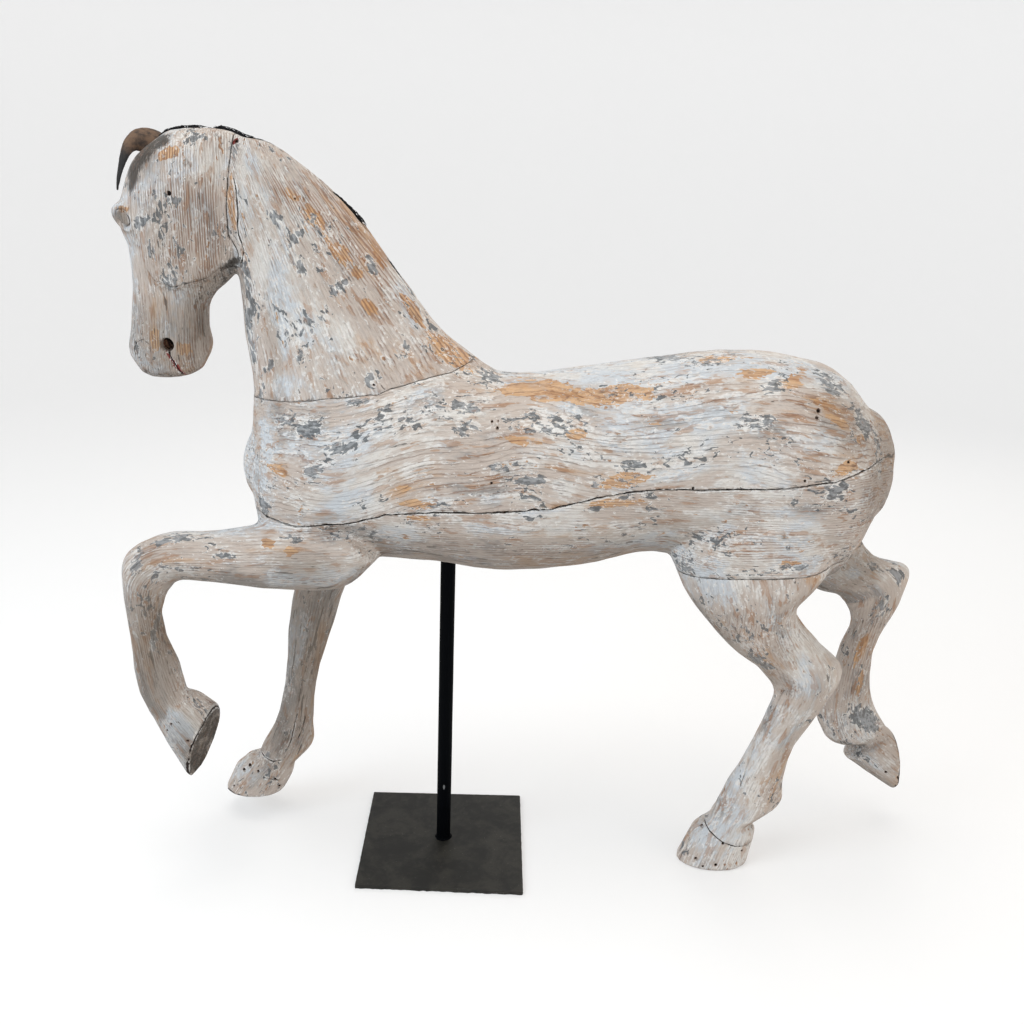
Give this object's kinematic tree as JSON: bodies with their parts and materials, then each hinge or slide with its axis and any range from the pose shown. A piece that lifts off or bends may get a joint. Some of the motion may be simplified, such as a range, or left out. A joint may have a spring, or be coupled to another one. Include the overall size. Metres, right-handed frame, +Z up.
{
  "type": "carousel horse",
  "caption": "Carved wooden carousel horse with one raised foreleg, a leather ear and mane strip, held by a steel rod on a square steel plate.",
  "frame": {"origin": "middle of the rod's axis at the plate's underside, on the ground", "axes": "+Z up along the rod, the horse faces -X, its near (left) side faces -Y"},
  "size_m": [1.4511, 0.3311, 1.2964],
  "materials": {
    "limed_wood": "worn whitewash over bare carved wood with traces of old blue-grey paint",
    "brown_leather": "old dry brown leather",
    "mane_leather": "ragged black leather and hair",
    "black_steel": "matt black paint with small chips",
    "plate_steel": "dark mottled mill scale with fine scratches"
  },
  "bodies": {
    "root": {"horse": "limed_wood", "right_ear": "brown_leather", "mane_strip": "mane_leather", "stand_rod": "black_steel", "base_plate": "plate_steel"}
  },
  "joints": []
}
